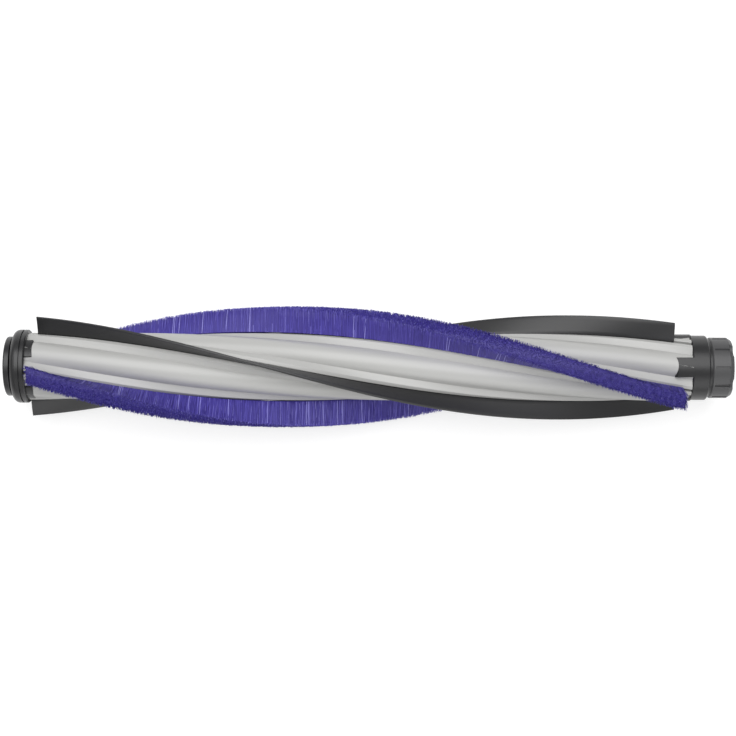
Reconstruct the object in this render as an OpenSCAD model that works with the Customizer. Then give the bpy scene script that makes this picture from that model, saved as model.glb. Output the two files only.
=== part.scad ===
// Main brush of a robot vacuum cleaner. A ribbed core carries two rubber blades and two bristle strips
// in four helical T-slots. The right end is the drive cap, and the left end runs on a ball bearing
// whose end cap stays still in the machine while the roller turns.
// Millimetres and degrees. The axis is X with the drive end at +X, mid-length is at X = 0, and Z is up.
// The roller lies on its bristles, which press flat where they meet the surface.

/* [Core] */
// Length of the ribbed core
core_len = 250.9; // [180:0.1:320]
// Radius over the slot lips and the round ribs
core_r = 12.75; // [12.2:0.05:15]
// Radius of the bore that takes the hub spigots
core_bore_r = 7.5; // [7.2:0.1:8]
// Twist of the slots from one end of the core to the other
core_twist = 213; // [0:1:300]
// Angle of the first blade's slot at mid-length, about X from +Y
slot_phase = 121; // [0:1:360]
// Radius of the round rib between two slots
rib_round = 5.5; // [5:0.1:6.5]
// Width of the lip beside each slot
lip_w = 1.9; // [1.4:0.1:2.4]

/* [T-slots] */
// Width of a slot's mouth
slot_neck_w = 1.3; // [1.1:0.1:1.8]
// Depth of the mouth below the lips
slot_neck_depth = 1.35; // [1.1:0.05:1.6]
// Width of the chamber that holds a strip's foot
slot_foot_w = 4.2; // [3.4:0.1:4.6]
// Height of the chamber
slot_foot_h = 1.6; // [1.3:0.1:1.9]
// Clearance round a strip's foot and stem
strip_gap = 0.1; // [0.05:0.01:0.2]

/* [Rubber blades] */
// Radius of the blade tips
blade_r = 19.9; // [17:0.1:21.5]
// Thickness just above the core
blade_base_t = 1.5; // [1.2:0.1:1.8]
// Thickness at the tip
blade_tip_t = 1.1; // [0.7:0.1:1.5]
// Angle by which the tips lag behind their slot at the ends of the core
blade_lag = 6; // [0:0.5:10]
// Distance from the left end of the core to the first blade
blade_1_start = 3.75; // [0.1:0.05:6]
// Distance from the first blade to the right end of the core
blade_1_end = 3.15; // [0.1:0.05:8]
// Distance from the left end of the core to the second blade
blade_2_start = 0.15; // [0.1:0.05:6]
// Distance from the second blade to the right end of the core
blade_2_end = 6.75; // [0.1:0.05:8]

/* [Bristle strips] */
// Radius over the bristle tips
pile_r = 23.2; // [21:0.1:25]
// Width of the band of tips
pile_tip_w = 7.8; // [5:0.1:9]
// Width just above the core
pile_base_w = 3.8; // [2.4:0.1:4.4]
// Angle by which the tips lean ahead of their slot
pile_lean = 4.9; // [0:0.1:8]
// How far the crown stands above its two edges
pile_crown = 1; // [0.4:0.1:1.4]
// Distance from the left end of the core to a bristle strip
pile_start = 2.1; // [0.5:0.1:5]
// Distance from a bristle strip to the right end of the core
pile_end = 3.6; // [0.5:0.1:8]
// Number of tufts along a strip
tuft_count = 78; // [26:26:104]
// Height of the axis above the surface that the roller lies on
axis_h = 22.3; // [20:0.1:25]

/* [Hubs] */
// Length of the left hub's flange
left_flange_len = 5.6; // [5.4:0.05:8]
// Height of the left hub's flange above the core's ribs
left_flange_rise = 1.2; // [0.4:0.05:3]
// Length of the right hub's flange
right_flange_len = 6.7; // [4:0.1:9]
// Depth of the right hub's flange below the core's ribs
right_flange_drop = 0.45; // [0:0.05:1]
// Length of the neck between the right flange and the drive cap
neck_len = 1; // [0.5:0.1:2]
// Depth of the neck below the right flange
neck_depth = 1.3; // [0.9:0.1:2.5]
// Length of the spigots that plug the core
spigot_len = 13; // [8:0.5:24]
// Clearance between a spigot and the core's bore
spigot_gap = 0.05; // [0.02:0.01:0.2]
// Width of the tabs that key the hubs to the core
tab_w = 7.4; // [5:0.1:8]
// Height of a tab, measured inwards from the top of the ribs
tab_h = 3.2; // [2.4:0.1:3.6]
// Length of the left hub's tabs
left_tab_len = 2.8; // [1.5:0.1:6]
// Length of the right hub's tabs
right_tab_len = 6.7; // [3:0.1:8]
// Length of the ramp behind each tab
tab_ramp = 1.9; // [0.5:0.1:3]
// Clearance round a tab in its notch
tab_gap = 0.1; // [0.05:0.01:0.2]

/* [Drive cap] */
// Length of the drive cap outside the hub
drive_len = 8.1; // [6:0.1:12]
// Radius of the drive cap
drive_r = 11.55; // [11.45:0.05:13]
// Width and length of the bevel at the cap's end
drive_bevel = 0.9; // [0.3:0.1:1.2]
// Depth of the lobed socket that the gearbox shaft turns
socket_depth = 6.8; // [4.5:0.1:7]
// Radius of the socket's round middle
socket_r = 5; // [4:0.1:5.5]
// Radius of each of its lobes
lobe_r = 1.8; // [1.2:0.1:2.2]
// Number of lobes and of end notches
lobe_count = 5; // [3:1:6]
// Radius of the notches in the end
dog_r = 3.2; // [2:0.1:3.4]
// Depth of the notches in the end
dog_depth = 1.6; // [0.8:0.1:3]
// Number of grip grooves
groove_count = 10; // [6:1:16]
// Width of a grip groove
groove_w = 1; // [0.5:0.1:1.6]
// Depth of a grip groove
groove_depth = 0.5; // [0.2:0.1:0.8]
// Size across the flats of the hexagonal plug inside the hub
plug_af = 12; // [9:0.1:12.2]
// Length of the plug
plug_len = 9; // [6:0.1:11]
// Clearance round the plug
plug_gap = 0.1; // [0.05:0.01:0.2]

/* [Screw] */
// Radius of the screw's thread
screw_r = 1.5; // [1.2:0.05:1.8]
// Length of the screw under its head
screw_len = 16; // [13:0.5:18]
// Radius of the screw's head
screw_head_r = 2.8; // [2.4:0.1:3.4]
// Height of the screw's head
screw_head_h = 1.8; // [1.2:0.1:2]
// Clearance round the screw in the cap
screw_gap = 0.2; // [0.1:0.05:0.4]

/* [Bearing] */
// Bore of the ball bearing
bearing_bore = 4; // [3:0.5:4]
// Outer diameter of the ball bearing
bearing_od = 12; // [11.5:0.5:13]
// Width of the ball bearing
bearing_w = 4; // [3.4:0.1:4.2]
// Diameter of a ball
ball_d = 2; // [1.8:0.05:2.2]
// Number of balls
ball_count = 7; // [5:1:8]
// Clearance between a ball and what it runs in
ball_gap = 0.04; // [0.02:0.01:0.06]
// Thickness of a shield
shield_t = 0.2; // [0.1:0.05:0.3]
// Depth of the bearing behind the hub's face
bearing_inset = 0.5; // [0.3:0.1:0.8]

/* [End cap] */
// Thickness of the end cap's disc
cap_t = 2.3; // [1.8:0.1:4]
// Radius of the end cap
cap_r = 11.3; // [9:0.1:13]
// Gap between the end cap and the hub
cap_gap = 0.4; // [0.3:0.1:1]
// Rounding of the cap's edges
cap_round = 0.5; // [0.2:0.1:0.8]
// Depth of the dish in the cap's face
cap_dish = 0.5; // [0.2:0.1:0.8]
// Thickness of the thrust washer
washer_t = 0.3; // [0.2:0.05:0.5]
// Thickness of the retaining clip
clip_t = 0.6; // [0.4:0.1:0.8]
// Depth of the clip's groove in the axle
clip_groove = 0.4; // [0.2:0.05:0.5]

/* [Hidden] */
$fn = 64;
eps = 0.01;

// Places along the axis, from the left end to the right end
overall_len = cap_t + cap_gap + left_flange_len + core_len + right_flange_len + neck_len + drive_len;
cap_x = -overall_len / 2;
left_hub_x = cap_x + cap_t + cap_gap;
core_x0 = left_hub_x + left_flange_len;
core_x1 = core_x0 + core_len;
neck_x = core_x1 + right_flange_len;
drive_x = neck_x + neck_len;
drive_end_x = drive_x + drive_len;
bearing_x0 = left_hub_x + bearing_inset;
bearing_mid_x = bearing_x0 + bearing_w / 2;
bearing_x1 = bearing_x0 + bearing_w;
clip_x = bearing_x1 + washer_t;

// Radii of the flanges and of the neck
left_flange_r = core_r + left_flange_rise;
right_flange_r = core_r - right_flange_drop;
neck_r = right_flange_r - neck_depth;

// Radii of the slots, from the mouth inwards
slot_neck_r = core_r - slot_neck_depth;
slot_floor_r = slot_neck_r - slot_foot_h;
stem_w = slot_neck_w - 2 * strip_gap;
foot_w = slot_foot_w - 2 * strip_gap;
foot_floor_r = slot_floor_r + 2 * strip_gap;
foot_top_r = slot_neck_r - strip_gap;
foot_slope = 0.15;
backing_top_r = core_r + 0.1;

// Height above the core at which a strip has its full width, and the arc that half a round rib spans
strip_rise = slot_neck_w * 0.45;
rib_arc = 57;

// The helix: its rate of twist, and the number of flat steps in the core
twist_rate = core_twist / core_len;
core_steps = 26;

// Radii inside the bearing
pitch_r = (bearing_bore + bearing_od) / 4;
track_r = ball_d / 2 + ball_gap;
inner_shoulder_r = pitch_r - ball_d * 0.34;
outer_shoulder_r = pitch_r + ball_d * 0.34;
shield_seat_r = outer_shoulder_r + 0.4;
shield_seat = 0.35;
cage_t = ball_d * 0.38;
cage_w = ball_d + 0.6;
axle_r = bearing_bore / 2;
axle_end_x = clip_x + clip_t + 0.6;
clip_r = axle_r + 1.6;
stop_r = pitch_r + 0.5;
web_x = bearing_x1 + 1.5;

// Angle of slot k at a place along the axis, about X from +Y: slots 0 and 2 hold the blades
function slot_angle(x, k) = slot_phase + twist_rate * x + 90 * k;

function polar(r, a) = [r * cos(a), r * sin(a)];
function turned(p, a) = [p[0] * cos(a) - p[1] * sin(a), p[0] * sin(a) + p[1] * cos(a)];
function reversed(list) = [for (i = [len(list) - 1 : -1 : 0]) list[i]];

// Sections of a strip: its ends, and between them those of the core, with each step cut in equal parts
function steps(x0, x1, parts = 1) =
    let (n = core_steps * parts, step = core_len / n, all = [for (i = [0 : n]) core_x0 + step * i])
    concat([x0], [for (x = all) if (x > x0 + step / 2 && x < x1 - step / 2) x], [x1]);

// Turns a profile's plane so that its x is the model's Y, its y is Z, and it is extruded along X
module along_x(x) {
    translate([x, 0, 0]) rotate([90, 0, 90]) children();
}

// Half of the outline from the middle of one slot to the crest of the next rib, which is at 45 degrees
function half_quadrant() =
    let (
        mouth = slot_neck_w / 2,
        lip_a = asin((mouth + lip_w) / core_r),
        crest = core_r - rib_round
    )
    concat(
        [
            [slot_floor_r, slot_foot_w / 2],
            [slot_neck_r, slot_foot_w / 2],
            [slot_neck_r, mouth],
            [sqrt(pow(core_r, 2) - pow(mouth, 2)), mouth],
            polar(core_r, lip_a * 0.75),
            polar(core_r - 0.25, lip_a),
            polar(core_r - 0.95, lip_a + 4)
        ],
        [for (b = [-rib_arc : rib_arc / 4 : 0]) turned([crest + rib_round * cos(b), rib_round * sin(b)], 45)]
    );

function core_outline() =
    let (half = half_quadrant(), quadrant = concat(half, reversed([for (i = [0 : len(half) - 2]) [half[i][1], half[i][0]]])))
    [for (q = [0 : 3]) for (p = quadrant) turned(p, 90 * q)];

// A notch for a tab, along +X from the end of the core, with a ramp at its inner end
module notch(length, ramp) {
    floor_r = core_r - tab_h - tab_gap;
    top_r = core_r + 1;
    width = tab_w + 2 * tab_gap;
    translate([0, width / 2, 0])
        rotate([90, 0, 0])
            linear_extrude(width)
                polygon([[-1, floor_r], [length, floor_r], [length + ramp, top_r], [-1, top_r]]);
}

// Places children at the four ribs, at the angle that the ribs have at one end of the core
module at_ribs(x) {
    for (k = [0 : 3]) translate([x, 0, 0]) rotate([slot_angle(x, k) + 45 - 90, 0, 0]) children();
}

module core() {
    color("#a8a8a5") difference() {
        along_x(core_x0)
            rotate([0, 0, slot_angle(core_x0, 0)])
                linear_extrude(core_len, twist = -twist_rate * core_len, slices = core_steps)
                    polygon(core_outline());
        along_x(core_x0 - 1) cylinder(r = core_bore_r, h = core_len + 2);
        at_ribs(core_x0) notch(left_tab_len + tab_gap, tab_ramp);
        at_ribs(core_x1) mirror([1, 0, 0]) notch(right_tab_len + tab_gap, 0.2);
    }
}

// A strip that follows a slot. Each section mirrors a half outline of [half width, radius] points, from foot to tip,
// and the sections are joined by triangles. Nothing reaches below the surface that the roller lies on.
module strip(sections) {
    n = len(sections[0]);
    last = len(sections) - 1;
    polyhedron(
        points = [for (s = sections) for (p = s) p],
        faces = concat(
            [for (j = [0 : last - 1]) for (i = [0 : n - 1]) let (a = j * n + i, b = j * n + (i + 1) % n) [a, b, a + n]],
            [for (j = [0 : last - 1]) for (i = [0 : n - 1]) let (a = j * n + i, b = j * n + (i + 1) % n) [b, b + n, a + n]],
            [for (i = [0 : n / 2 - 2]) [n - 1 - i, n - 2 - i, i]],
            [for (i = [0 : n / 2 - 2]) [n - 2 - i, i + 1, i]],
            [for (i = [0 : n / 2 - 2]) [i, n - 2 - i, n - 1 - i] + last * n * [1, 1, 1]],
            [for (i = [0 : n / 2 - 2]) [i, i + 1, n - 2 - i] + last * n * [1, 1, 1]]
        )
    );
}

// One section at x: lean turns the tip by that many degrees against the slot, and nothing below the core
function section(half, x, k, lean) =
    let (both = concat(half, reversed([for (p = half) [-p[0], p[1]]])), tip = half[len(half) - 1][1])
    [for (p = both)
        let (
            share = max(0, (p[1] - core_r) / (tip - core_r)),
            yz = turned([p[1], p[0]], slot_angle(x, k) + lean * share)
        )
        [x, yz[0], max(yz[1], -axis_h)]];

function foot() = [[foot_w / 2, foot_floor_r], [foot_w / 2, foot_top_r - foot_slope], [stem_w / 2, foot_top_r]];

module blade(k, start, end) {
    half = concat(foot(), [
        [stem_w / 2, core_r],
        [blade_base_t / 2, core_r + strip_rise],
        [blade_tip_t / 2, blade_r]
    ]);
    places = steps(core_x0 + start, core_x1 - end);
    color("#232323") strip([for (x = places) section(half, x, k, -blade_lag * x / (core_len / 2))]);
}

module blade_1() { blade(0, blade_1_start, blade_1_end); }

module blade_2() { blade(2, blade_2_start, blade_2_end); }

module bristle_backing(k) {
    half = concat(foot(), [[stem_w / 2, backing_top_r]]);
    places = steps(core_x0 + pile_start, core_x1 - pile_end);
    color("#2b2b2e") strip([for (x = places) section(half, x, k, 0)]);
}

module bristle_backing_1() { bristle_backing(3); }

module bristle_backing_2() { bristle_backing(1); }

// Half of the bristle band: it leaves the slot narrow, opens like a tulip and ends in a low crown.
// dip sinks and narrows it between two tufts, and share rounds it off at either end of the strip.
function pile_half(dip, share) =
    let (
        edge_r = pile_r - pile_crown,
        h = edge_r - core_r,
        flare = (pile_tip_w - pile_base_w) / 2,
        narrow = (1 - 0.3 * share) * (1 - 0.09 * dip),
        low = (1 - 0.1 * share) * (1 - 0.04 * dip),
        crown = [
            [pile_base_w / 2 + 0.65 * flare, core_r + 0.5 * h],
            [pile_tip_w / 2, edge_r],
            [pile_tip_w * 0.22, pile_r]
        ]
    )
    concat(
        [[stem_w / 2, backing_top_r], [pile_base_w / 2, core_r + strip_rise]],
        [for (p = crown) [p[0] * narrow, core_r + (p[1] - core_r) * low]]
    );

module bristle_pile(k) {
    x0 = core_x0 + pile_start;
    x1 = core_x1 - pile_end;
    rounding = pile_tip_w * 0.4;
    places = steps(x0, x1, tuft_count * 2 / core_steps);
    color("#3a2f8f")
        strip([for (i = [0 : len(places) - 1])
            let (x = places[i], share = max(0, 1 - min(x - x0, x1 - x) / rounding))
            section(pile_half(i % 2, share * share), x, k, -pile_lean)]);
}

module bristle_pile_1() { bristle_pile(3); }

module bristle_pile_2() { bristle_pile(1); }

// A tab of a hub, with its inner end bevelled, cut to the round of the core
module tab(length, bevel) {
    intersection() {
        translate([0, tab_w / 2, 0])
            rotate([90, 0, 0])
                linear_extrude(tab_w)
                    polygon([
                        [-0.5, core_r - tab_h], [length, core_r - tab_h], [length, core_r - bevel * 0.8],
                        [length - bevel, core_r + 1], [-0.5, core_r + 1]
                    ]);
        translate([-1, 0, 0]) rotate([0, 90, 0]) cylinder(r = core_r, h = length + 2);
    }
}

module left_hub() {
    shoulder = 2.2;
    edge = left_flange_r - 2.35;
    groove = 0.6;
    groove_z = left_flange_len - 1.75;
    spigot_r = core_bore_r - spigot_gap;
    end_z = left_flange_len + spigot_len;
    color("#1c1c1d") difference() {
        union() {
            along_x(left_hub_x) rotate_extrude() polygon(concat(
                [[0, 0]],
                [for (a = [0 : 15 : 90]) [edge + 2.35 * sin(a), shoulder * (1 - cos(a))]],
                [
                    [left_flange_r, groove_z - groove / 2],
                    [left_flange_r - groove, groove_z - groove / 3],
                    [left_flange_r - groove, groove_z + groove / 3],
                    [left_flange_r, groove_z + groove / 2],
                    [left_flange_r, left_flange_len - 0.4],
                    [left_flange_r - 0.4, left_flange_len],
                    [spigot_r, left_flange_len],
                    [spigot_r, end_z - 0.8],
                    [spigot_r - 0.8, end_z],
                    [0, end_z]
                ]
            ));
            at_ribs(core_x0) tab(left_tab_len, 0.4);
        }
        along_x(left_hub_x - 1) cylinder(r = bearing_od / 2, h = bearing_x1 - left_hub_x + 1);
        along_x(bearing_x1 - 1) cylinder(r = stop_r, h = web_x - bearing_x1 + 2);
        along_x(web_x) cylinder(r = core_bore_r - 2, h = end_z + 5);
    }
}

module bearing_outer_race() {
    od_r = bearing_od / 2;
    half = bearing_w / 2;
    color("#9a9ca0") along_x(bearing_mid_x) rotate_extrude() difference() {
        polygon([
            [outer_shoulder_r, -half + shield_seat], [shield_seat_r, -half + shield_seat], [shield_seat_r, -half],
            [od_r - 0.2, -half], [od_r, -half + 0.2], [od_r, half - 0.2], [od_r - 0.2, half],
            [shield_seat_r, half], [shield_seat_r, half - shield_seat], [outer_shoulder_r, half - shield_seat]
        ]);
        translate([pitch_r, 0]) circle(r = track_r);
    }
}

module bearing_inner_race() {
    half = bearing_w / 2;
    color("#9a9ca0") along_x(bearing_mid_x) rotate_extrude() difference() {
        translate([axle_r, -half]) square([inner_shoulder_r - axle_r, bearing_w]);
        translate([pitch_r, 0]) circle(r = track_r);
    }
}

module at_balls() {
    for (i = [0 : ball_count - 1])
        translate([bearing_mid_x, 0, 0]) rotate([360 * i / ball_count, 0, 0]) translate([0, pitch_r, 0]) children();
}

module bearing_balls() {
    color("#c8cacc") at_balls() sphere(r = ball_d / 2);
}

module bearing_cage() {
    color("#7c7f84") difference() {
        along_x(bearing_mid_x - cage_w / 2) difference() {
            cylinder(r = pitch_r + cage_t / 2, h = cage_w);
            translate([0, 0, -1]) cylinder(r = pitch_r - cage_t / 2, h = cage_w + 2);
        }
        at_balls() rotate([90, 0, 0]) cylinder(r = track_r, h = cage_t + 2, center = true);
    }
}

module shield(x) {
    color("#b4b6b9") along_x(x) difference() {
        cylinder(r = shield_seat_r, h = shield_t);
        translate([0, 0, -1]) cylinder(r = inner_shoulder_r + 0.1, h = shield_t + 2);
    }
}

module bearing_shield_outer() { shield(bearing_x0 + shield_seat - shield_t); }

module bearing_shield_inner() { shield(bearing_x1 - shield_seat); }

module axle_pin() {
    x0 = cap_x + cap_dish / 2;
    length = axle_end_x - x0;
    groove_z = clip_x - x0;
    color("#b9bbbd") along_x(x0) rotate_extrude() polygon([
        [0, 0], [axle_r - 0.2, 0], [axle_r, 0.2], [axle_r, groove_z], [axle_r - clip_groove, groove_z],
        [axle_r - clip_groove, groove_z + clip_t], [axle_r, groove_z + clip_t], [axle_r, length - 0.3],
        [axle_r - 0.3, length], [0, length]
    ]);
}

module thrust_washer() {
    color("#a7a9ab") along_x(bearing_x1) difference() {
        cylinder(r = inner_shoulder_r, h = washer_t);
        translate([0, 0, -1]) cylinder(r = axle_r, h = washer_t + 2);
    }
}

// A radial clip: an open ring with three lands that grip the groove
module retaining_clip() {
    grip_r = axle_r - clip_groove;
    color("#5f6266") along_x(clip_x) linear_extrude(clip_t) difference() {
        circle(r = clip_r);
        circle(r = grip_r);
        for (a = [60, 180, 300]) rotate(a) translate([grip_r, 0]) circle(r = 0.55);
        translate([0, -grip_r * 0.85]) square([clip_r + 1, grip_r * 1.7]);
    }
}

module end_cap() {
    dish_r = cap_r - 2.6;
    boss_r = axle_r + 2.2;
    stop_len = cap_gap + bearing_inset;
    color("#1a1a1b") along_x(cap_x) difference() {
        rotate_extrude() polygon(concat(
            [[0, cap_dish / 2], [boss_r, cap_dish / 2], [boss_r + 0.4, cap_dish], [dish_r - 0.4, cap_dish], [dish_r, 0]],
            [for (a = [0 : 30 : 90]) [cap_r - cap_round + cap_round * sin(a), cap_round * (1 - cos(a))]],
            [for (a = [0 : 30 : 90]) [cap_r - cap_round + cap_round * cos(a), cap_t - cap_round + cap_round * sin(a)]],
            [[inner_shoulder_r, cap_t], [inner_shoulder_r, cap_t + stop_len], [0, cap_t + stop_len]]
        ));
        translate([0, 0, -1]) cylinder(r = axle_r, h = cap_t + stop_len + 2);
    }
}

module right_hub() {
    spigot_r = core_bore_r - spigot_gap;
    bevel = 0.5;
    hub_x = core_x1 - spigot_len;
    pocket_x = drive_x - plug_len - plug_gap;
    color("#1c1c1d") difference() {
        union() {
            along_x(hub_x) rotate_extrude() polygon([
                [0, 0], [spigot_r - 0.8, 0], [spigot_r, 0.8], [spigot_r, spigot_len],
                [right_flange_r - bevel, spigot_len], [right_flange_r, spigot_len + bevel],
                [right_flange_r, spigot_len + right_flange_len - bevel],
                [right_flange_r - bevel, spigot_len + right_flange_len],
                [neck_r, spigot_len + right_flange_len], [neck_r, drive_x - hub_x], [0, drive_x - hub_x]
            ]);
            at_ribs(core_x1) mirror([1, 0, 0]) tab(right_tab_len, tab_ramp);
        }
        along_x(pocket_x) cylinder(r = (plug_af / 2 + plug_gap) / cos(30), h = drive_x - pocket_x + 1, $fn = 6);
        along_x(drive_end_x - socket_depth - screw_len) cylinder(r = screw_r, h = screw_len);
    }
}

// Outline of the socket: a round middle with lobes
module socket_outline() {
    circle(r = socket_r);
    for (i = [0 : lobe_count - 1]) rotate(360 * i / lobe_count + 54) translate([socket_r, 0]) circle(r = lobe_r);
}

module drive_cap() {
    floor_x = drive_end_x - socket_depth;
    grip_x = drive_x + 1;
    grip_len = drive_len - 2.6;
    color("#4a4a4c") difference() {
        union() {
            along_x(drive_x) rotate_extrude() polygon([
                [0, 0], [drive_r - 0.4, 0], [drive_r, 0.4], [drive_r, drive_len - drive_bevel * 1.6],
                [drive_r - drive_bevel, drive_len], [0, drive_len]
            ]);
            along_x(drive_x - plug_len) cylinder(r = plug_af / 2 / cos(30), h = plug_len + 1, $fn = 6);
        }
        along_x(floor_x) linear_extrude(socket_depth + 1) socket_outline();
        along_x(drive_x - plug_len - 1) cylinder(r = screw_r + screw_gap, h = plug_len + 2 + floor_x - drive_x);
        for (i = [0 : lobe_count - 1])
            translate([drive_end_x - dog_depth, 0, 0]) rotate([360 * i / lobe_count + 54, 0, 0])
                translate([0, drive_r + 1.1, 0]) rotate([0, 90, 0]) cylinder(r = dog_r, h = dog_depth + 1);
        for (i = [0 : groove_count - 1])
            rotate([360 * i / groove_count + 90, 0, 0])
                translate([grip_x, drive_r - groove_depth, -groove_w / 2]) cube([grip_len, 2, groove_w]);
    }
}

module drive_screw() {
    seat_x = drive_end_x - socket_depth;
    recess = screw_head_r * 0.55;
    color("#8d8f92") difference() {
        union() {
            along_x(seat_x - screw_len) cylinder(r = screw_r, h = screw_len + 0.5);
            along_x(seat_x) rotate_extrude() polygon([
                [0, 0], [screw_head_r, 0], [screw_head_r, screw_head_h * 0.5],
                [screw_head_r * 0.75, screw_head_h * 0.9], [screw_head_r * 0.4, screw_head_h], [0, screw_head_h]
            ]);
        }
        for (a = [0, 90])
            translate([seat_x + screw_head_h * 0.4, 0, 0]) rotate([a, 0, 0])
                translate([0, -recess, -0.3]) cube([screw_head_h, 2 * recess, 0.6]);
    }
}

core();
blade_1();
blade_2();
bristle_backing_1();
bristle_backing_2();
bristle_pile_1();
bristle_pile_2();
left_hub();
bearing_outer_race();
bearing_inner_race();
bearing_balls();
bearing_cage();
bearing_shield_outer();
bearing_shield_inner();
axle_pin();
thrust_washer();
retaining_clip();
end_cap();
right_hub();
drive_cap();
drive_screw();
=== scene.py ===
import bmesh
import bpy
import random
from math import asin, cos, hypot, pi, radians, sin, sqrt
from mathutils import Matrix, Vector


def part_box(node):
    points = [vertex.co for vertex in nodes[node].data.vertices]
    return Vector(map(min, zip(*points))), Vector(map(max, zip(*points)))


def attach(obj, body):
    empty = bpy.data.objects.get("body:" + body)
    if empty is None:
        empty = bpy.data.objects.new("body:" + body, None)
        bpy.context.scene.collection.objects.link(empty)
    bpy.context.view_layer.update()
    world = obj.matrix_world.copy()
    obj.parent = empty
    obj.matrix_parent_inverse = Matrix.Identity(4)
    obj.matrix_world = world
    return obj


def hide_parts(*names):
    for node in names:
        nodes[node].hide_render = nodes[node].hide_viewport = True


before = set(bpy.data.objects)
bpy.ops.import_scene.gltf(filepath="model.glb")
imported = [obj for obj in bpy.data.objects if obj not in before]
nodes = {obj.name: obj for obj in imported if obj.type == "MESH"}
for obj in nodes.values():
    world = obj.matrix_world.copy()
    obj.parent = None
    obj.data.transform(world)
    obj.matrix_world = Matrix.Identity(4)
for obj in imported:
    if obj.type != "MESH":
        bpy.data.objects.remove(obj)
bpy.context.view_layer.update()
mm = 0.001


# Studio: a white sweep under the roller, a broad soft light over its far side, a weaker one on the
# near side, and a camera that looks straight down at it.
lying_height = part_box("bristle_pile_2")[0].z

floor_bm = bmesh.new()
bmesh.ops.create_grid(floor_bm, x_segments=2, y_segments=2, size=3)
bmesh.ops.translate(floor_bm, verts=floor_bm.verts, vec=(0, 0, lying_height))
floor_mesh = bpy.data.meshes.new("floor")
floor_bm.to_mesh(floor_mesh)
floor_bm.free()
floor = bpy.data.objects.new("floor", floor_mesh)
bpy.context.scene.collection.objects.link(floor)

paper = bpy.data.materials.new("white_paper")
paper.use_nodes = True
tree = paper.node_tree
tree.nodes.clear()
out = tree.nodes.new("ShaderNodeOutputMaterial")
matte = tree.nodes.new("ShaderNodeBsdfDiffuse")
matte.inputs["Color"].default_value = (0.5, 0.5, 0.5, 1)
glow = tree.nodes.new("ShaderNodeEmission")
seen = tree.nodes.new("ShaderNodeLightPath")
any_ray = tree.nodes.new("ShaderNodeMath")
any_ray.operation = "MAXIMUM"
tree.links.new(seen.outputs["Is Camera Ray"], any_ray.inputs[0])
tree.links.new(seen.outputs["Is Glossy Ray"], any_ray.inputs[1])
any_clear_ray = tree.nodes.new("ShaderNodeMath")
any_clear_ray.operation = "MAXIMUM"
tree.links.new(any_ray.outputs[0], any_clear_ray.inputs[0])
tree.links.new(seen.outputs["Is Transmission Ray"], any_clear_ray.inputs[1])
lift = tree.nodes.new("ShaderNodeMath")
lift.operation = "MULTIPLY"
lift.inputs[1].default_value = 0.62
tree.links.new(any_clear_ray.outputs[0], lift.inputs[0])
tree.links.new(lift.outputs[0], glow.inputs["Strength"])
both = tree.nodes.new("ShaderNodeAddShader")
tree.links.new(matte.outputs[0], both.inputs[0])
tree.links.new(glow.outputs[0], both.inputs[1])
tree.links.new(both.outputs[0], out.inputs["Surface"])
floor_mesh.materials.append(paper)

world = bpy.data.worlds.new("studio")
bpy.context.scene.world = world
world.use_nodes = True
world.node_tree.nodes["Background"].inputs["Color"].default_value = (1, 1, 1, 1)
world.node_tree.nodes["Background"].inputs["Strength"].default_value = 0.45

for name, place, size, power in (
    ("overhead", (-0.05, 0.35, 0.85), 0.9, 9.0),
    ("near_side", (0.1, -0.8, 0.5), 0.7, 2.5),
):
    lamp = bpy.data.lights.new(name, "AREA")
    lamp.shape = "SQUARE"
    lamp.size = size
    lamp.energy = power
    lamp_object = bpy.data.objects.new(name, lamp)
    bpy.context.scene.collection.objects.link(lamp_object)
    lamp_object.location = place
    lamp_object.rotation_euler = (-Vector(place)).to_track_quat("-Z", "Y").to_euler()

camera_data = bpy.data.cameras.new("camera")
camera_data.sensor_width = 36
camera_data.lens = 84.9
camera = bpy.data.objects.new("camera", camera_data)
bpy.context.scene.collection.objects.link(camera)
camera.location = (-0.21 * mm, -0.4 * mm, 662.4 * mm)
camera.rotation_euler = (0, 0, radians(0.14))
bpy.context.scene.camera = camera
bpy.context.scene.view_settings.view_transform = "Standard"


# Core: one long moulding in grey plastic with four T-slots and a round rib between each two, which
# twists as it comes out of the mould. It is built here as a solid bar with closed ends, without its bore or the
# notches for the hubs' tabs.
core_low, core_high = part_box("core")
core_r = 12.75 * mm
twist_rate = radians(0.85) / mm
first_slot = radians(121)
slot_neck = 0.65 * mm
slot_foot = 2.1 * mm
slot_top_r = core_r - 1.35 * mm
slot_floor_r = slot_top_r - 1.6 * mm
rib_round = 5.5 * mm
lip_end = asin(2.55 / 12.75)


def wind(bm, slot, lean=None, tip_r=1.0):
    """Takes straight stock, made along X with Z as its radius, and winds it round the axis along a slot."""
    for v in bm.verts:
        turn = first_slot + twist_rate * v.co.x + slot * pi / 2
        if lean:
            turn += lean(v.co.x) * max(0, (v.co.z - core_r) / (tip_r - core_r))
        v.co = Matrix.Rotation(turn, 3, "X") @ Vector((v.co.x, v.co.z, v.co.y))


def finished(name, bm, *materials, crease=40):
    """Turns a bmesh into a smooth-shaded object with sharp edges kept."""
    mesh = bpy.data.meshes.new(name)
    bm.to_mesh(mesh)
    bm.free()
    for material in materials:
        mesh.materials.append(material)
    mesh.shade_smooth()
    mesh.set_sharp_from_angle(angle=radians(crease))
    obj = bpy.data.objects.new(name, mesh)
    bpy.context.scene.collection.objects.link(obj)
    return obj


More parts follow.
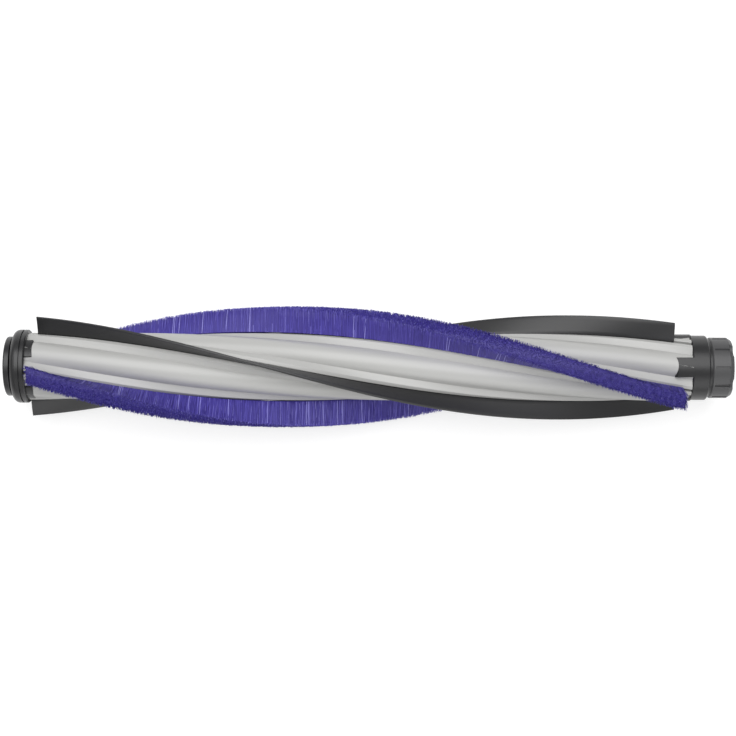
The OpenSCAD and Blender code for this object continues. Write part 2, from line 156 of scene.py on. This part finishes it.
half = [
    (slot_floor_r, slot_foot),
    (slot_top_r, slot_foot),
    (slot_top_r, slot_neck),
    (core_r - 0.25 * mm, slot_neck),
    (core_r - 0.05 * mm, slot_neck + 0.2 * mm),
]
half += [(core_r * cos(lip_end * t), core_r * sin(lip_end * t)) for t in (0.45, 0.6, 0.75, 0.88)]
half += [
    ((core_r - 0.25 * mm) * cos(lip_end), (core_r - 0.25 * mm) * sin(lip_end)),
    ((core_r - 0.6 * mm) * cos(lip_end * 1.16), (core_r - 0.6 * mm) * sin(lip_end * 1.16)),
    ((core_r - 0.93 * mm) * cos(lip_end * 1.35), (core_r - 0.93 * mm) * sin(lip_end * 1.35)),
]
crest = core_r - rib_round
for step in range(11):
    swing = radians(-57 + 5.7 * step)
    u, v = crest + rib_round * cos(swing), rib_round * sin(swing)
    half.append((u * cos(pi / 4) - v * sin(pi / 4), u * sin(pi / 4) + v * cos(pi / 4)))
quadrant = half + [(w, u) for u, w in reversed(half[:-1])]

core_bm = bmesh.new()
outline = []
for q in range(4):
    for u, w in quadrant:
        a = q * pi / 2
        outline.append(core_bm.verts.new((core_low.x, u * sin(a) + w * cos(a), u * cos(a) - w * sin(a))))
core_bm.faces.new(outline)
pulled = bmesh.ops.extrude_face_region(core_bm, geom=core_bm.faces[:])
far_end = [v for v in pulled["geom"] if isinstance(v, bmesh.types.BMVert)]
bmesh.ops.translate(core_bm, verts=far_end, vec=(core_high.x - core_low.x, 0, 0))
long_edges = [e for e in core_bm.edges if abs(e.verts[0].co.x - e.verts[1].co.x) > mm]
bmesh.ops.subdivide_edges(core_bm, edges=long_edges, cuts=99, use_grid_fill=True)
wind(core_bm, 0)
bmesh.ops.recalc_face_normals(core_bm, faces=core_bm.faces)

grey_plastic = bpy.data.materials.new("grey_plastic")
grey_plastic.use_nodes = True
shader = grey_plastic.node_tree.nodes["Principled BSDF"]
shader.inputs["Base Color"].default_value = (0.42, 0.42, 0.41, 1)
shader.inputs["Roughness"].default_value = 0.38

core = finished("ribbed_core", core_bm, grey_plastic, crease=32)
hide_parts("core")
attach(core, "roller")


# Blades: two strips of black rubber, extruded with a foot that slides into a T-slot. They stand
# opposite each other and lag a little behind their slots towards the ends.
black_rubber = bpy.data.materials.new("black_rubber")
black_rubber.use_nodes = True
shader = black_rubber.node_tree.nodes["Principled BSDF"]
shader.inputs["Base Color"].default_value = (0.016, 0.016, 0.017, 1)
shader.inputs["Roughness"].default_value = 0.42

blade_r = 19.9 * mm
blade_half = [(10.0, 2.0), (11.15, 2.0), (11.3, 0.55), (12.75, 0.55), (13.25, 0.75)]
for name, slot in (("blade_1", 0), ("blade_2", 2)):
    low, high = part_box(name)
    blade_bm = bmesh.new()
    ring = [(r, w) for r, w in blade_half] + [(13.25 + 6.3 * t / 6, 0.75 - 0.2 * t / 6) for t in range(1, 7)] + [(19.83, 0.45), (19.9, 0.25)]
    ring += [(r, -w) for r, w in reversed(ring)]
    blade_bm.faces.new([blade_bm.verts.new((low.x, w * mm, r * mm)) for r, w in ring])
    pulled = bmesh.ops.extrude_face_region(blade_bm, geom=blade_bm.faces[:])
    far_end = [v for v in pulled["geom"] if isinstance(v, bmesh.types.BMVert)]
    bmesh.ops.translate(blade_bm, verts=far_end, vec=(high.x - low.x, 0, 0))
    long_edges = [e for e in blade_bm.edges if abs(e.verts[0].co.x - e.verts[1].co.x) > mm]
    bmesh.ops.subdivide_edges(blade_bm, edges=long_edges, cuts=99, use_grid_fill=True)
    wind(blade_bm, slot, lean=lambda x: radians(-0.049) * x / mm, tip_r=blade_r)
    bmesh.ops.recalc_face_normals(blade_bm, faces=blade_bm.faces)
    blade = finished("rubber_" + name, blade_bm, black_rubber)
    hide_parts(name)
    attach(blade, "roller")


# Bristle strips: rows of fine violet bristles, bound on a black foot that slides into a T-slot. The
# rows fan out above the slot, lean a little ahead of it, and lie flat where they meet the surface.
violet = bpy.data.materials.new("violet_bristle")
violet.use_nodes = True
tree = violet.node_tree
shader = tree.nodes["Principled BSDF"]
shader.inputs["Roughness"].default_value = 0.55
strand = tree.nodes.new("ShaderNodeUVMap")
strand.uv_map = "strand"
parts = tree.nodes.new("ShaderNodeSeparateXYZ")
tree.links.new(strand.outputs[0], parts.inputs[0])
tone = tree.nodes.new("ShaderNodeValToRGB")
tone.color_ramp.elements[0].color = (0.030, 0.018, 0.20, 1)
tone.color_ramp.elements[1].color = (0.30, 0.28, 0.72, 1)
tone.color_ramp.elements[1].position = 1.0
middle = tone.color_ramp.elements.new(0.6)
middle.color = (0.075, 0.058, 0.38, 1)
tree.links.new(parts.outputs["X"], tone.inputs[0])
tree.links.new(tone.outputs[0], shader.inputs["Base Color"])

pile_root_r = 13.2 * mm
pile_tip_r = 23.2 * mm
rows_in_strip = 400
bristles_in_row = 54

rng = random.Random(7)
row_stock = []
for kind in range(8):
    row_bm = bmesh.new()
    strand_uv = row_bm.loops.layers.uv.new("strand")
    for bristle in range(bristles_in_row):
        across = (bristle + rng.random()) / bristles_in_row * 2 - 1
        along = rng.uniform(-0.5, 0.5)
        root = Vector((along * mm, across * 1.7 * mm, pile_root_r))
        reach = 22.9 - 0.8 * across ** 2 + rng.gauss(0, 0.16)
        tip = Vector(((along + rng.gauss(0, 0.45)) * mm, (across * 3.75 + rng.gauss(0, 0.2)) * mm, reach * mm))
        length = (tip - root).length
        made = bmesh.ops.create_cone(
            row_bm, cap_ends=True, segments=3, radius1=0.13 * mm, radius2=0.09 * mm, depth=length,
            matrix=Matrix.Translation((root + tip) / 2) @ (tip - root).to_track_quat("Z", "Y").to_matrix().to_4x4(),
        )
        shade = min(1, max(0, rng.gauss(0.45, 0.2)))
        for face in {f for v in made["verts"] for f in v.link_faces}:
            for loop in face.loops:
                loop[strand_uv].uv = (shade, (loop.vert.co.z - pile_root_r) / (pile_tip_r - pile_root_r))
    row_mesh = bpy.data.meshes.new("row")
    row_bm.to_mesh(row_mesh)
    row_bm.free()
    row_stock.append(row_mesh)

for name, slot in (("bristle_pile_1", 3), ("bristle_pile_2", 1)):
    low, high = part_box(name)
    rng = random.Random(11 + slot)
    pile_bm = bmesh.new()
    # The inside of the strip, where the bristles are packed too close to tell apart, is one solid body. Its tone
    # sits low on the ramp, darker than most bristles: painted shade of the packed inside.
    ring = [(12.9, 0.6), (13.2, 1.6), (16.0, 2.1), (19.0, 2.7), (21.3, 3.2), (22.0, 2.4), (22.3, 0.8)]
    ring += [(r, -w) for r, w in reversed(ring)]
    pile_bm.faces.new([pile_bm.verts.new((low.x + 0.6 * mm, w * mm, r * mm)) for r, w in ring])
    pulled = bmesh.ops.extrude_face_region(pile_bm, geom=pile_bm.faces[:])
    far_end = [v for v in pulled["geom"] if isinstance(v, bmesh.types.BMVert)]
    bmesh.ops.translate(pile_bm, verts=far_end, vec=(high.x - low.x - 1.2 * mm, 0, 0))
    long_edges = [e for e in pile_bm.edges if abs(e.verts[0].co.x - e.verts[1].co.x) > mm]
    bmesh.ops.subdivide_edges(pile_bm, edges=long_edges, cuts=79, use_grid_fill=True)
    body_verts = len(pile_bm.verts)
    strand_uv = pile_bm.loops.layers.uv.new("strand")
    # The body takes a dark violet from low on the tone ramp: painted shade deep in the pile.
    for face in pile_bm.faces:
        for loop in face.loops:
            loop[strand_uv].uv = (0.1, 0.5)
    places = []
    for row in range(rows_in_strip):
        pile_bm.from_mesh(row_stock[rng.randrange(8)])
        places.append(low.x + 0.5 * mm + (high.x - low.x - 1.0 * mm) * row / (rows_in_strip - 1))
    pile_bm.verts.ensure_lookup_table()
    verts_in_row = (len(pile_bm.verts) - body_verts) // rows_in_strip
    for row, place in enumerate(places):
        first = body_verts + row * verts_in_row
        tilt = rng.gauss(0, 0.02)
        sway = rng.gauss(0, 0.012)
        flip = rng.choice((-1, 1))
        for v in pile_bm.verts[first:first + verts_in_row]:
            rise = v.co.z - pile_root_r
            v.co.x += place + tilt * rise
            v.co.y = v.co.y * flip + sway * rise
    wind(pile_bm, slot, lean=lambda x: radians(-4.9), tip_r=22.2 * mm)
    for v in pile_bm.verts:
        v.co.z = max(v.co.z, lying_height)
    pile = finished("violet_" + name, pile_bm, violet, crease=60)
    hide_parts(name)
    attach(pile, "roller")

for name in ("bristle_backing_1", "bristle_backing_2"):
    for holder in nodes[name].material_slots:
        holder.material = black_rubber


# Hubs and end cap: black moulded plastic. The left hub's flange is stepped and grooved, the right
# one is plain, and the end cap is a thin dished disc that stays still in the machine.
black_plastic = bpy.data.materials.new("black_plastic")
black_plastic.use_nodes = True
shader = black_plastic.node_tree.nodes["Principled BSDF"]
shader.inputs["Base Color"].default_value = (0.012, 0.012, 0.013, 1)
shader.inputs["Roughness"].default_value = 0.35
for name in ("left_hub", "right_hub", "end_cap"):
    for holder in nodes[name].material_slots:
        holder.material = black_plastic


# Drive cap: dark grey moulded plastic with grip grooves round it and a lobed socket in its end.
dark_grey_plastic = bpy.data.materials.new("dark_grey_plastic")
dark_grey_plastic.use_nodes = True
shader = dark_grey_plastic.node_tree.nodes["Principled BSDF"]
shader.inputs["Base Color"].default_value = (0.055, 0.055, 0.057, 1)
shader.inputs["Roughness"].default_value = 0.4
for holder in nodes["drive_cap"].material_slots:
    holder.material = dark_grey_plastic


# Bearing, axle, washer, clip and screw: bright turned and pressed steel.
steel = bpy.data.materials.new("turned_steel")
steel.use_nodes = True
shader = steel.node_tree.nodes["Principled BSDF"]
shader.inputs["Base Color"].default_value = (0.6, 0.61, 0.62, 1)
shader.inputs["Metallic"].default_value = 1
shader.inputs["Roughness"].default_value = 0.28
for name in (
    "bearing_outer_race", "bearing_inner_race", "bearing_balls", "bearing_cage", "bearing_shield_outer",
    "bearing_shield_inner", "axle_pin", "thrust_washer", "retaining_clip", "drive_screw",
):
    for holder in nodes[name].material_slots:
        holder.material = steel
